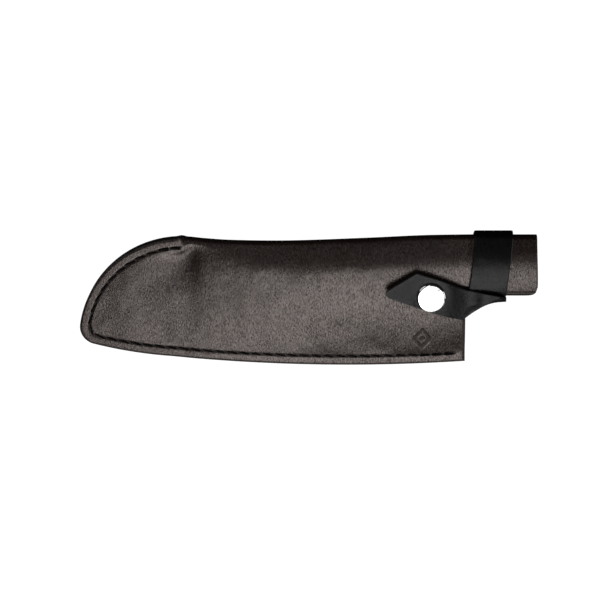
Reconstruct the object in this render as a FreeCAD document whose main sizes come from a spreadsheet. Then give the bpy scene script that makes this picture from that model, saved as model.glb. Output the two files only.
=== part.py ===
import FreeCAD, Part
import math
import os
import Sketcher

# A folded leather blade sheath with a handle collar, lying on its back.
# +X runs from the blunt tip pocket to the open end of the collar, +Y to the folded spine, +Z up.
# The origin is the middle of the whole part's footprint, on the surface that it lies on.

Vec = FreeCAD.Vector

DIMENSIONS = {
    # leather and seam
    "hide": 2.2,                # thickness of the folded hide
    "welt_thick": 3.0,          # spacer strip between the two panels
    "welt_width": 8.0,
    "stitch_slant": 0.45,
    "seam_z": 7.4,              # front face of the flat seam margin
    "stitch_inset": 4.8,        # cut edge to stitch line
    "stitch_pitch": 6.4,
    "stitch_end_x": 78.0,
    "thread_r": 0.45,
    # outline of the flat panels, seen from the front
    "tip_top_x": -67.5,
    "tip_top_y": 31.2,
    "tip_radius": 54.3,
    "toe_upper_x": -118.72,
    "toe_upper_y": -14.9,
    "toe_radius": 9.3,
    "toe_lower_x": -111.9,
    "toe_lower_y": -24.9,
    "belly_front_radius": 221.0,
    "belly_x": -71.2,
    "belly_y": -31.65,
    "belly_radius": 896.0,
    "fold_belly_y": -32.54,     # the belly's edge where the fold starts
    "heel_low_x": 82.4,
    "heel_low_y": -34.1,
    "heel_high_x": 80.3,
    "heel_high_y": 3.0,
    "fold_start_x": -62.0,
    "outside": 60.0,            # any distance clear of the outline
    # cross-sections along the fold: place, spine, fold radius, crown, lift of the back, seam
    "crown_inset": 17.0,
    "back_low_y": -22.0,        # the back panel is flat on the ground up to here
    "back_high_y": 9.0,         # and has its full lift from here on
    "station_1": -62.0, "spine_1": 31.2, "fold_1": 3.68, "crown_1": 7.7, "lift_1": 0.0, "seam_1": -27.4,
    "station_2": -54.0, "spine_2": 30.55, "fold_2": 3.72, "crown_2": 8.8, "lift_2": 0.0, "seam_2": -28.1,
    "station_3": -40.0, "spine_3": 29.9, "fold_3": 3.8, "crown_3": 9.6, "lift_3": 0.0, "seam_3": -29.1,
    "station_4": -10.0, "spine_4": 29.7, "fold_4": 3.95, "crown_4": 10.8, "lift_4": 0.0, "seam_4": -30.7,
    "station_5": 30.0, "spine_5": 31.3, "fold_5": 4.0, "crown_5": 12.2, "lift_5": 0.4, "seam_5": -31.2,
    "station_6": 60.0, "spine_6": 33.1, "fold_6": 3.95, "crown_6": 13.4, "lift_6": 2.0, "seam_6": -30.5,
    "station_7": 82.0, "spine_7": 34.2, "fold_7": 3.9, "crown_7": 14.4, "lift_7": 4.1, "seam_7": -29.5,
    # collar round the knife's handle, a flattened tube slit along its lower edge
    "collar_end_x": 118.78,
    "collar_low_y": 1.8,
    "collar_slit": 3.0,
    "collar_step": 0.3,         # how far the collar sits inside the mouth's own outline
    # strap: wound once and a quarter round the collar, leaning towards the open end
    "strap_thick": 1.9,
    "strap_gap": 0.15,
    "strap_width": 20.0,
    "strap_x": 82.1,            # left edge of the band where y is 0
    "strap_slope": 0.096,       # shift along x for each mm of y
    "strap_bend": 5.45,         # inside radius round the collar's lower edge and spine
    "strap_low_y": 7.05,
    "strap_high_y": 29.1,
    "strap_bend_z": 9.25,
    "strap_end_y": 19.5,
    "strap_down_y": 20.6,
    "strap_stop_y": -4.0,
    "anchor_y": 14.0,
    "anchor_inset": 3.0,
    # the strap's diagonal fold: its left and right edge at the back, at its lowest, and in front
    "back_left_x": 82.3, "back_left_y": 2.0, "back_right_x": 102.9, "back_right_y": 6.0,
    "low_left_x": 81.7, "low_left_y": -11.6, "low_right_x": 103.0, "low_right_y": -2.0,
    "front_left_x": 80.0, "front_left_y": -9.93, "front_right_x": 98.0, "front_right_y": 2.6,
    # the line across the strap where the tab bends up
    "hinge_left_x": 76.5, "hinge_left_y": -8.7, "hinge_right_x": 81.5, "hinge_right_y": 5.2,
    # tab
    "tab_z": 16.75,
    "tab_top_x": 53.9, "tab_top_y": 15.7,
    "tab_nose_upper_x": 41.6, "tab_nose_upper_y": 6.9,
    "tab_nose_lower_x": 42.1, "tab_nose_lower_y": 3.4,
    "tab_nose_r": 2.0,
    "tab_low_x": 61.6, "tab_low_y": -4.8,
    # press fastener
    "snap_x": 63.0,
    "snap_y": 3.0,
    "snap_seat_z": 13.1,        # front face of the sheath under the stud
    "post_flange_z": 10.3,
    "post_hole_r": 2.1,
}
STATIONS = range(1, 8)
MOUTH = STATIONS[-1]

doc = FreeCAD.newDocument("blade_sheath")
sheet = doc.addObject("Spreadsheet::Sheet", "Dims")
for row, (alias, value) in enumerate(DIMENSIONS.items(), 1):
    sheet.set(f"A{row}", alias.replace("_", " "))
    sheet.set(f"B{row}", str(value))
    sheet.setAlias(f"B{row}", alias)
doc.recompute()


def number(text):
    """The value of a sum such as "spine_1 - fold_1", read from the sheet."""
    total, sign = 0.0, 1
    for word in text.split():
        if word in "+-":
            sign = 1 if word == "+" else -1
        else:
            total += sign * (float(sheet.get(word)) if word in DIMENSIONS else float(word))
            sign = 1
    return total


def linked(text):
    """The same sum as a FreeCAD expression on the sheet."""
    return " ".join(f"Dims.{word}" if word in DIMENSIONS else word for word in text.split())


def point(pair):
    return Vec(number(pair[0]), number(pair[1]), 0)


def bind(owner, prop, text):
    owner.setExpression(prop, linked(text))


def dimension(sketch, kind, *reference, text):
    """Adds a driving dimension to a sketch and binds it to the sheet."""
    index = sketch.addConstraint(Sketcher.Constraint(kind, *reference, number(text)))
    sketch.setExpression(f"Constraints[{index}]", linked(text))


def pin_point(sketch, geo, pos, pair):
    dimension(sketch, "DistanceX", -1, 1, geo, pos, text=pair[0])
    dimension(sketch, "DistanceY", -1, 1, geo, pos, text=pair[1])


def arc_between(a, b, radius, turn):
    """The minor arc from a to b, to the left (turn 1) or to the right (turn -1)."""
    middle = (a + b) * 0.5
    along = b - a
    half = along.Length / 2
    reach = math.sqrt(max(radius ** 2 - half ** 2, 0))
    centre = middle + Vec(-along.y, along.x, 0).normalize() * reach * turn
    first, last = (a, b) if turn > 0 else (b, a)
    angles = [math.atan2(p.y - centre.y, p.x - centre.x) for p in (first, last)]
    if angles[1] < angles[0]:
        angles[1] += 2 * math.pi
    return Part.ArcOfCircle(Part.Circle(centre, Vec(0, 0, 1), radius), *angles)


def draw(sketch, start, edges, closed=True):
    """Joined lines and arcs. An edge is (x, y) for a line, or (x, y, radius, turn) for an arc."""
    ends = []
    here = start
    if closed:
        edges = edges + [start]
    for edge in edges:
        a, b = point(here), point(edge[:2])
        if len(edge) == 2:
            geo = sketch.addGeometry(Part.LineSegment(a, b))
            ends.append((geo, 1, 2))
        else:
            geo = sketch.addGeometry(arc_between(a, b, number(edge[2]), edge[3]))
            ends.append((geo, 1, 2) if edge[3] > 0 else (geo, 2, 1))
            dimension(sketch, "Radius", geo, text=edge[2])
        here = edge[:2]
    for index, (geo, first, last) in enumerate(ends):
        if index or closed:
            before = ends[index - 1]
            sketch.addConstraint(Sketcher.Constraint("Coincident", before[0], before[2], geo, first))
        if index == 0 and not closed:
            pin_point(sketch, geo, first, start)
        pin_point(sketch, geo, last, edges[index][:2])


def new_body(name):
    body = doc.addObject("PartDesign::Body", name)
    body.Label = name
    return body


def new_sketch(body, name, plane, offset="0"):
    """A sketch on one of the body's origin planes, moved along its normal."""
    sketch = body.newObject("Sketcher::SketchObject", name)
    support = [item for item in body.Origin.OriginFeatures if item.Role == plane][0]
    sketch.AttachmentSupport = (support, [""])
    sketch.MapMode = "FlatFace"
    bind(sketch, "AttachmentOffset.Base.z", offset)
    return sketch


def new_pad(body, sketch, length, kind="Pad", reverse=False):
    feature = body.newObject(f"PartDesign::{kind}", f"{sketch.Name}_{kind.lower()}")
    feature.Profile = sketch
    feature.Length = number(length)
    bind(feature, "Length", length)
    feature.Reversed = reverse
    return feature


def new_revolution(name, profile, place):
    """A turned piece: its profile is drawn as (radius, height) and turned about a vertical axis."""
    body = new_body(name)
    sketch = new_sketch(body, f"{name}_profile", "XZ_Plane")
    draw(sketch, profile[0], profile[1:])
    turned = body.newObject("PartDesign::Revolution", f"{name}_turned")
    turned.Profile = sketch
    turned.ReferenceAxis = (sketch, ["V_Axis"])
    turned.Angle = 360
    for axis, text in zip("xyz", place):
        bind(body, f"Placement.Base.{axis}", text)
    return body


SNAP_AT = ("snap_x", "snap_y")
TIP_TOP = ("tip_top_x", "tip_top_y")
BELLY = ("belly_x", "belly_y")
TIP_EDGES = [
    ("toe_upper_x", "toe_upper_y", "tip_radius", 1),
    ("toe_lower_x", "toe_lower_y", "toe_radius", 1),
    ("belly_x", "belly_y", "belly_front_radius", 1),
]
BELLY_EDGE = ("heel_low_x", "heel_low_y", "belly_radius", 1)


def shoulder_arc(i):
    """Radius of the arc from the fold up to the crown, and the angle at which the two meet."""
    height = number(f"crown_{i} - lift_{i}")
    fold = number(f"fold_{i}")
    reach = number("crown_inset") - fold
    radius = (reach ** 2 / (height - 2 * fold) + height) / 2
    return radius, math.asin(reach / (radius - fold))


def fold_section(sketch, i, wall):
    """One cross-section: flat back, small-radius fold at the spine, crowned front, flat margin."""
    spine, fold, crown, lift = f"spine_{i}", f"fold_{i}", f"crown_{i}", f"lift_{i}"
    corners = [
        ("0 - outside", wall),
        ("back_low_y", wall),
        ("back_high_y", f"{lift} + {wall}"),
        (f"{spine} - {fold}", f"{lift} + {wall}"),
    ]
    crown_at = (f"{spine} - crown_inset", f"{crown} - {wall}")
    seam_at = (f"seam_{i}", f"seam_z - {wall}")
    margin_at = ("0 - outside", f"seam_z - {wall}")

    lines = [sketch.addGeometry(Part.LineSegment(point(a), point(b))) for a, b in zip(corners, corners[1:])]
    radius = number(f"{fold} - {wall}")
    centre = point((f"{spine} - {fold}", f"{lift} + {fold}"))
    top = point(crown_at)
    crown_radius, lean = shoulder_arc(i)
    crown_radius -= number(wall)
    bend = sketch.addGeometry(Part.ArcOfCircle(
        Part.Circle(centre, Vec(0, 0, 1), radius), -math.pi / 2, math.pi / 2 - lean))
    crown_centre = Vec(top.x, top.y - crown_radius, 0)
    shoulder = sketch.addGeometry(Part.ArcOfCircle(
        Part.Circle(crown_centre, Vec(0, 0, 1), crown_radius), math.pi / 2 - lean, math.pi / 2))
    seam = point(seam_at)
    drop = top.y - seam.y
    panel_radius = ((top.x - seam.x) ** 2 + drop ** 2) / (2 * drop)
    sweep = math.asin((top.x - seam.x) / panel_radius)
    panel = sketch.addGeometry(Part.ArcOfCircle(
        Part.Circle(Vec(top.x, top.y - panel_radius, 0), Vec(0, 0, 1), panel_radius),
        math.pi / 2, math.pi / 2 + sweep))
    margin = sketch.addGeometry(Part.LineSegment(seam, point(margin_at)))
    end = sketch.addGeometry(Part.LineSegment(point(margin_at), point(corners[0])))

    chain = lines + [bend, shoulder, panel, margin, end]
    for before, after in zip(chain, chain[1:] + chain[:1]):
        if (before, after) == (bend, shoulder) or (before, after) == (lines[-1], bend):
            sketch.addConstraint(Sketcher.Constraint("Tangent", before, 2, after, 1))
        else:
            sketch.addConstraint(Sketcher.Constraint("Coincident", before, 2, after, 1))
    for geo, corner in zip([end] + lines, corners):
        pin_point(sketch, geo, 2, corner)
    dimension(sketch, "Radius", bend, text=f"{fold} - {wall}")
    pin_point(sketch, shoulder, 2, crown_at)
    pin_point(sketch, panel, 2, seam_at)
    pin_point(sketch, margin, 2, margin_at)
    sketch.addConstraint(Sketcher.Constraint("Vertical", shoulder, 3, shoulder, 2))
    sketch.addConstraint(Sketcher.Constraint("Vertical", panel, 3, panel, 1))


def fold_loft(body, kind, wall):
    sections = []
    for i in STATIONS:
        sketch = new_sketch(body, f"{kind}_section_{i}", "YZ_Plane", f"station_{i}")
        fold_section(sketch, i, wall)
        sections.append(sketch)
    loft = body.newObject(f"PartDesign::{kind}Loft", f"{kind}_loft")
    loft.Profile = sections[0]
    loft.Sections = sections[1:]
    loft.Ruled = True
    return loft


def collar_profile(sketch):
    """The collar's wall in cross-section: outside round to the slit, and back along the inside."""
    half_slit = number("collar_slit") / 2
    bend = number(f"crown_{MOUTH} - lift_{MOUTH}") / 2
    fold = number(f"fold_{MOUTH}")
    low_y = number("collar_low_y") + bend
    middle_z = number(f"lift_{MOUTH}") + bend
    spine_y = number(f"spine_{MOUTH}") - fold
    spine_z = number(f"lift_{MOUTH}") + fold
    crown_y = number(f"spine_{MOUTH} - crown_inset")
    crown_radius, lean = shoulder_arc(MOUTH)
    turns = ["bend", "line", "fold", "fold", "shoulder", "line", "bend"]
    radii = {"bend": bend, "fold": fold, "shoulder": crown_radius}

    def corners(depth):
        """The wall's surface at a depth under the mouth's outline, from back lip to front lip."""
        round_fold = fold - depth
        lip = math.sqrt((bend - depth) ** 2 - half_slit ** 2)
        return [
            Vec(low_y - lip, middle_z - half_slit, 0),
            Vec(low_y, middle_z - bend + depth, 0),
            Vec(spine_y, spine_z - round_fold, 0),
            Vec(spine_y + round_fold, spine_z, 0),
            Vec(spine_y + round_fold * math.sin(lean), spine_z + round_fold * math.cos(lean), 0),
            Vec(crown_y, middle_z + bend - depth, 0),
            Vec(low_y, middle_z + bend - depth, 0),
            Vec(low_y - lip, middle_z + half_slit, 0),
        ]

    def trace(points, kinds, depth, turn):
        for a, b, kind in zip(points, points[1:], kinds):
            edge = Part.LineSegment(a, b) if kind == "line" else arc_between(a, b, radii[kind] - depth, turn)
            sketch.addGeometry(edge)

    outer_depth = number("collar_step")
    inner_depth = outer_depth + number("hide")
    outer, inner = corners(outer_depth), corners(inner_depth)
    trace(outer, turns, outer_depth, 1)
    sketch.addGeometry(Part.LineSegment(outer[-1], inner[-1]))
    trace(inner[::-1], turns[::-1], inner_depth, -1)
    sketch.addGeometry(Part.LineSegment(inner[0], outer[0]))


def make_sheath_body():
    """The folded hide: one loft from the tip to the mouth, the flat tip pocket, and the collar."""
    body = new_body("sheath_body")
    fold_loft(body, "Additive", "0")
    fold_loft(body, "Subtractive", "hide")

    trim = new_sketch(body, "belly_trim", "XY_Plane", "0 - hide")
    draw(trim, BELLY, [
        BELLY_EDGE,
        ("heel_high_x", "heel_high_y"),
        ("station_7 + 1", "heel_high_y"),
        ("station_7 + 1", "0 - outside - 1"),
        ("belly_x", "0 - outside - 1"),
    ])
    new_pad(body, trim, "outside", "Pocket", reverse=True)

    tip = new_sketch(body, "tip_outline", "XY_Plane")
    draw(tip, ("fold_start_x", "spine_1"), [TIP_TOP] + TIP_EDGES + [
        ("fold_start_x", "fold_belly_y", "belly_radius", 1),
    ])
    new_pad(body, tip, "seam_z")

    slot = new_sketch(body, "tip_slot", "YZ_Plane", "fold_start_x")
    draw(slot, ("0 - outside", "hide"), [
        ("outside", "hide"),
        ("outside", "seam_z - hide"),
        ("0 - outside", "seam_z - hide"),
    ])
    new_pad(body, slot, "outside", "Pocket")

    collar = new_sketch(body, "collar_wall", "YZ_Plane", "station_7")
    collar_profile(collar)
    new_pad(body, collar, "collar_end_x - station_7")

    hole = new_sketch(body, "snap_hole", "XY_Plane", "seam_z")
    centre = hole.addGeometry(Part.Circle(point(SNAP_AT), Vec(0, 0, 1), number("post_hole_r")))
    pin_point(hole, centre, 3, SNAP_AT)
    dimension(hole, "Radius", centre, text="post_hole_r")
    new_pad(body, hole, "outside", "Pocket", reverse=True)
    return body


# ---------------------------------------------------------------- seam

def offset_of(name, source, distance, fill):
    offset = doc.addObject("Part::Offset2D", name)
    offset.Source = source
    offset.Value = number(distance)
    bind(offset, "Value", distance)
    offset.Mode = "Skin"
    offset.Fill = fill
    return offset


def extrude(name, source, direction, length):
    solid = doc.addObject("Part::Extrusion", name)
    solid.Base = source
    solid.DirMode = "Custom"
    solid.Dir = direction
    solid.LengthFwd = number(length)
    bind(solid, "LengthFwd", length)
    solid.Solid = True
    return solid


def make_outline(name, start, edges):
    """The seam's edge as one open line, round the tip and along the belly to the heel."""
    outline = doc.addObject("Sketcher::SketchObject", name)
    draw(outline, start, edges + TIP_EDGES + [BELLY_EDGE], closed=False)
    return outline


def make_welt():
    outline = make_outline("welt_outline", ("fold_start_x", "spine_1"), [TIP_TOP])
    strip = offset_of("welt_strip", outline, "0 - welt_width", True)
    welt = extrude("welt", strip, Vec(0, 0, 1), "welt_thick")
    welt.Label = "welt"
    bind(welt, "Placement.Base.z", "hide")
    return welt


def rod(start, end, radius):
    along = end - start
    return Part.makeCylinder(radius, along.Length, start, along)


def stitched(name, holes, face_z, inner_z, side):
    """Slanted stitches on one face, joined by the thread's legs down the holes to inner_z."""
    radius = number("thread_r")
    slant = number("stitch_slant")
    pieces = [rod(Vec(p.x, p.y, inner_z), Vec(p.x, p.y, face_z), radius) for p in holes]
    for a, b in zip(holes, holes[1:]):
        across = Vec(a.y - b.y, b.x - a.x, 0).normalize() * slant * side
        start, end = a + across, b - across
        start.z = end.z = face_z
        pieces += [rod(start, end, radius), Part.makeSphere(radius, start), Part.makeSphere(radius, end)]
    thread = doc.addObject("Part::Feature", name)
    thread.Label = name
    thread.Shape = pieces[0].multiFuse(pieces[1:]).removeSplitter()
    return thread


def make_seam_threads():
    outline = make_outline("stitch_outline", TIP_TOP, [])
    line = offset_of("stitch_line", outline, "0 - stitch_inset", False)
    doc.recompute()
    wire = Part.Wire(Part.sortEdges(line.Shape.Edges)[0])
    count = round(wire.Length / number("stitch_pitch"))
    holes = [hole for hole in wire.discretize(Number=count + 1) if hole.x < number("stitch_end_x")]
    middle = number("seam_z") / 2
    radius = number("thread_r")
    return [
        stitched("needle_thread", holes, number("seam_z"), middle, 1),
        stitched("bobbin_thread", holes, radius + 0.05, middle, -1),
    ]


# ---------------------------------------------------------------- strap

def make_strap_wrap():
    """One and a quarter turns: from the sewn end at the back, up the front and down the back."""
    route = doc.addObject("Sketcher::SketchObject", "strap_route")
    inner_low = "strap_bend_z - strap_bend"
    inner_high = "strap_bend_z + strap_bend"
    draw(route, ("strap_end_y", inner_low), [
        ("strap_low_y", inner_low),
        ("strap_low_y - strap_bend", "strap_bend_z", "strap_bend", -1),
        ("strap_low_y", inner_high, "strap_bend", -1),
        ("strap_high_y", inner_high),
        ("strap_high_y + strap_bend", "strap_bend_z", "strap_bend", -1),
        ("strap_high_y", inner_low, "strap_bend", -1),
        ("strap_down_y", "strap_thick"),
        ("strap_stop_y", "strap_thick"),
    ], closed=False)
    lean = math.atan(number("strap_slope"))
    along = Vec(math.sin(lean), math.cos(lean), 0)
    route.Placement.Rotation = FreeCAD.Rotation(along, Vec(0, 0, 1), along.cross(Vec(0, 0, 1)), "XYZ")
    bind(route, "Placement.Base.x", "strap_x")
    ribbon = offset_of("strap_ribbon", route, "0 - strap_thick", True)
    band = extrude("strap_band", ribbon, Vec(1, 0, 0), "strap_width")

    diagonal = doc.addObject("Sketcher::SketchObject", "strap_diagonal")
    draw(diagonal, ("back_left_x - 5", "back_left_y - 1"), [
        ("back_left_x - 5", "0 - outside"),
        ("back_right_x + 5", "0 - outside"),
        ("back_right_x + 5", "back_right_y + 1"),
    ])
    bind(diagonal, "Placement.Base.z", "0 - strap_gap")
    below = extrude("below_diagonal", diagonal, Vec(0, 0, 1), "strap_thick + strap_gap + strap_gap")
    wrap = doc.addObject("Part::Cut", "strap_wrap")
    wrap.Base = band
    wrap.Tool = below
    wrap.Label = "strap_wrap"
    return wrap


def fold_frame(turn):
    """The strap's cross-section at one turn of the fold, 0 at the back and 180 in front."""
    end = "back" if turn < 90 else "front"
    share = math.sin(math.radians(turn))
    edges = []
    for side in ("left", "right"):
        start = point((f"{end}_{side}_x", f"{end}_{side}_y"))
        edges.append(start + (point((f"low_{side}_x", f"low_{side}_y")) - start) * share)
    half = number("strap_thick") / 2
    top = number("tab_z") + half
    middle_z = (half + top) / 2
    height = middle_z - (top - half) / 2 * math.cos(math.radians(turn))
    outward = (edges[1] - edges[0]).cross(Vec(0, 0, 1)).normalize()
    skin = (outward * share - Vec(0, 0, math.cos(math.radians(turn)))) * half
    left, right = (edge + Vec(0, 0, height) for edge in edges)
    return Part.makePolygon([left - skin, right - skin, right + skin, left + skin, left - skin])


def make_strap_fold():
    """The roll from the back round to the front, and the flat neck up to the tab's bend line."""
    roll = Part.makeLoft([fold_frame(turn) for turn in range(0, 181, 30)], True, False)
    neck_corners = [
        ("front_left_x", "front_left_y"),
        ("front_right_x", "front_right_y"),
        ("hinge_right_x", "hinge_right_y"),
        ("hinge_left_x", "hinge_left_y"),
    ]
    base = [point(corner) + Vec(0, 0, number("tab_z")) for corner in neck_corners]
    neck = Part.Face(Part.makePolygon(base + base[:1])).extrude(Vec(0, 0, number("strap_thick")))
    fold = doc.addObject("Part::Feature", "strap_fold")
    fold.Label = "strap_fold"
    fold.Shape = roll.fuse(neck)
    return fold


def make_strap_tab():
    body = new_body("strap_tab")
    outline = new_sketch(body, "tab_outline", "XY_Plane", "tab_z")
    draw(outline, ("hinge_left_x", "hinge_left_y"), [
        ("hinge_right_x", "hinge_right_y"),
        ("tab_top_x", "tab_top_y"),
        ("tab_nose_upper_x", "tab_nose_upper_y"),
        ("tab_nose_lower_x", "tab_nose_lower_y", "tab_nose_r", 1),
        ("tab_low_x", "tab_low_y"),
    ])
    new_pad(body, outline, "strap_thick")
    hole = new_sketch(body, "tab_hole", "XY_Plane", "tab_z")
    centre = hole.addGeometry(Part.Circle(point(SNAP_AT), Vec(0, 0, 1), number("post_hole_r")))
    pin_point(hole, centre, 3, SNAP_AT)
    dimension(hole, "Radius", centre, text="post_hole_r")
    new_pad(body, hole, "outside", "Pocket", reverse=True)
    return body


def make_anchor_thread():
    """The row of stitches that holds the strap's end on the back of the collar."""
    y = number("anchor_y")
    start_x = number("strap_x") + y * number("strap_slope") + number("anchor_inset")
    end_x = start_x + number("strap_width") - 2 * number("anchor_inset")
    holes = Part.makeLine(Vec(start_x, y, 0), Vec(end_x, y, 0)).discretize(Number=4)
    face_z = number("strap_thick + strap_gap") + number("thread_r")
    inner_z = number("lift_7 + hide")
    return stitched("anchor_thread", holes, face_z, inner_z, 1)


# ---------------------------------------------------------------- press fastener

def make_fastener():
    at = [*SNAP_AT, "tab_z + strap_thick"]
    cap = new_revolution("snap_cap", [
        ("0", "0 - 2.55"), ("2.5", "0 - 2.55"), ("2.6", "0 - 2.35"), ("1.9", "0 - 2.35"), ("1.9", "0"),
        ("7.3", "0"), ("7.5", "0.2"), ("7.5", "0.5"),
        ("6.485", "1.597", "1.1", 1), ("0.4", "1.847", "83.916", 1), ("0", "1.847"),
    ], at)
    socket = new_revolution("snap_socket", [
        ("2.0", "0"), ("2.0", "0 - 0.45"), ("3.7", "0 - 0.45"), ("3.7", "0 - 1.6"), ("4.3", "0 - 1.8"),
        ("4.3", "0 - 2.4"), ("3.8", "0 - 2.6"), ("5.0", "0 - 2.6"), ("5.0", "0 - 0.7"),
        ("6.2", "0 - 0.5"), ("6.2", "0"),
    ], [*SNAP_AT, "tab_z"])
    spring = new_revolution("snap_spring", [
        ("3.8", "0 - 0.25"), ("4.2", "0 - 0.25"), ("4.2", "0.25"), ("3.8", "0.25"),
    ], [*SNAP_AT, "tab_z - 2.1"])
    stud = new_revolution("snap_stud", [
        ("1.95", "0"), ("6.2", "0"), ("6.2", "0.5"), ("3.2", "0.9"), ("2.7", "1.2"), ("3.2", "1.6"),
        ("3.2", "2.1"), ("2.7", "2.4"), ("1.95", "2.4"),
    ], [*SNAP_AT, "snap_seat_z"])
    post = new_revolution("snap_post", [
        ("1.5", "0"), ("6.0", "0"), ("6.0", "0.5"), ("1.9", "0.5"), ("1.9", "5.25"), ("2.5", "5.25"),
        ("2.4", "5.5"), ("1.5", "5.5"),
    ], [*SNAP_AT, "post_flange_z"])
    return [cap, socket, spring, stud, post]


# ---------------------------------------------------------------- the part

parts = [make_sheath_body(), make_welt(), *make_seam_threads()]
parts += [make_strap_wrap(), make_anchor_thread(), make_strap_fold(), make_strap_tab()]
parts += make_fastener()
doc.recompute()

failed = [item.Name for item in doc.Objects if "Invalid" in item.State or "Error" in item.State]
if failed:
    raise RuntimeError(f"features that failed: {failed}")
for part in parts:
    if part.Shape.isNull() or not part.Shape.isValid():
        raise RuntimeError(f"{part.Label} has no valid shape")

os.makedirs("parts", exist_ok=True)
for part in parts:
    part.Shape.exportStep(f"parts/{part.Label}.step")
    box = part.Shape.optimalBoundingBox()
    print(f"{part.Label}: {len(part.Shape.Solids)} solid, {part.Shape.Volume:.0f} mm3,"
          f" x {box.XMin:.2f} {box.XMax:.2f}, y {box.YMin:.2f} {box.YMax:.2f}, z {box.ZMin:.2f} {box.ZMax:.2f}")
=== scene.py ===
import math

import bpy
import numpy as np
from mathutils import Euler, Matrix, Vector, noise


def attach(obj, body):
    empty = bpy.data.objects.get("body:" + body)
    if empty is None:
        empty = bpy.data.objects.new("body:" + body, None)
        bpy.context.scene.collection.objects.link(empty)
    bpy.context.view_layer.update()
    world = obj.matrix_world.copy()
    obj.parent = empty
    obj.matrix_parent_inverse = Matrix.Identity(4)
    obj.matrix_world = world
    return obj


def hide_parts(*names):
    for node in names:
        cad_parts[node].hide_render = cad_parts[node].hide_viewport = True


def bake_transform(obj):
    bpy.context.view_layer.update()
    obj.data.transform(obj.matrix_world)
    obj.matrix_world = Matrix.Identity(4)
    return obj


# A folded leather blade sheath, lying on its back. Lengths are millimetres until a mesh is made; the
# camera, the lights and the backdrop are in metres.
MM = 0.001

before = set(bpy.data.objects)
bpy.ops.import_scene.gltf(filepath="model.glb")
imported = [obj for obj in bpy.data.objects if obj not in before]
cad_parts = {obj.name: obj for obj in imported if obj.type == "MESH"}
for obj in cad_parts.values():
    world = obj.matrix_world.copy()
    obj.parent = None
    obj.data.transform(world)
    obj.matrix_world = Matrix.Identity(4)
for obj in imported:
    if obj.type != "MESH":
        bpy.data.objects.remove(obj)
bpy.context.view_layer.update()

# ---------------------------------------------------------------- shape of the hide

# cross-sections along the fold: spine line, fold radius, height of the crown, lift of the back, and the
# line where the crown has come down to the flat margin
SECTION_X = [-62.0, -54.0, -40.0, -10.0, 30.0, 60.0, 82.0]
SPINE = [31.7, 30.95, 30.0, 29.7, 31.2, 32.95, 33.8]
FOLD = [3.68, 3.72, 3.8, 3.95, 4.0, 3.95, 3.9]
CROWN = [7.5, 8.2, 9.2, 10.8, 12.2, 13.4, 14.4]
LIFT = [0.0, 0.0, 0.0, 0.0, 0.4, 2.0, 4.1]
SEAM = [-27.4, -28.1, -29.1, -30.7, -31.2, -30.5, -29.5]
CROWN_INSET = 17.0          # from the spine in to the top of the crown
MARGIN_Z = 7.4              # front face of the flat seam margin
HIDE = 2.2                  # thickness
STITCH_INSET = 4.8          # from the sewn edge in to the stitches

TIP_TOP = (-67.5, 31.2)
HEEL_LOW = (82.3, -34.3)
HEEL_X = 80.3               # the heel edge where it reaches the collar
HEEL_SLANT = 41.0           # the heel's dyed edge moves 1 mm along the sheath over this much of its height
CURL = (-65.5, -60.8)       # the flat tip turns into the round fold between these
COLLAR_X = 82.0
COLLAR_MIDDLE = 100.0
COLLAR_END = 118.3
COLLAR_LOW = 1.8            # y of the collar's lower edge
COLLAR_FRONT_Z = 8.0        # the band above this is on the collar's front
SLIT = 1.5                  # half the gap along the collar's lower edge
COLLAR_MID_Z = 9.25
LOW_BEND = 4.2              # radius of the collar's lower bend
FLAP_Y = 7.0                # the row where the collar's flaps start
FAR_IN = 40.0               # an inset where the seam no longer shapes the panel
ZONE = 6.0                  # width of the strip of rows that rolls round the spine


def smooth(low, high, x):
    t = min(max((x - low) / (high - low), 0.0), 1.0)
    return t * t * (3 - 2 * t)


def mix(a, b, t):
    return a + (b - a) * t


def along(values, x):
    """A smooth curve through the sections' values."""
    xs = SECTION_X
    if x <= xs[0]:
        return values[0]
    if x >= xs[-1]:
        return values[-1]
    i = max(k for k in range(len(xs) - 1) if xs[k] <= x)

    def slope(k):
        if k in (0, len(xs) - 1):
            return 0.0 if k == 0 else (values[k] - values[k - 1]) / (xs[k] - xs[k - 1])
        return (values[k + 1] - values[k - 1]) / (xs[k + 1] - xs[k - 1])

    h = xs[i + 1] - xs[i]
    t = (x - xs[i]) / h
    a, b = values[i], values[i + 1]
    m, n = slope(i) * h, slope(i + 1) * h
    return a + m * t + (3 * (b - a) - 2 * m - n) * t ** 2 + (2 * (a - b) + m + n) * t ** 3


def arc(a, b, radius, step=1.0):
    """Points of the arc from a to b, turning left."""
    ax, ay = a
    bx, by = b
    dx, dy = bx - ax, by - ay
    length = math.hypot(dx, dy)
    reach = math.sqrt(max(radius ** 2 - (length / 2) ** 2, 0.0))
    cx = (ax + bx) / 2 - dy / length * reach
    cy = (ay + by) / 2 + dx / length * reach
    first = math.atan2(ay - cy, ax - cx)
    sweep = 2 * math.asin(min(length / 2 / radius, 1.0))
    count = max(4, round(sweep * radius / step))
    return [(cx + radius * math.cos(first + sweep * k / count),
             cy + radius * math.sin(first + sweep * k / count)) for k in range(count + 1)]


def path_length(points):
    sums = [0.0]
    for a, b in zip(points, points[1:]):
        sums.append(sums[-1] + math.dist(a, b))
    return sums


def at_length(points, sums, s):
    s = min(max(s, 0.0), sums[-1])
    i = min(int(np.searchsorted(sums, s, side="right")) - 1, len(points) - 2)
    t = (s - sums[i]) / (sums[i + 1] - sums[i])
    return tuple(mix(p, q, t) for p, q in zip(points[i], points[i + 1]))


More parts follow.
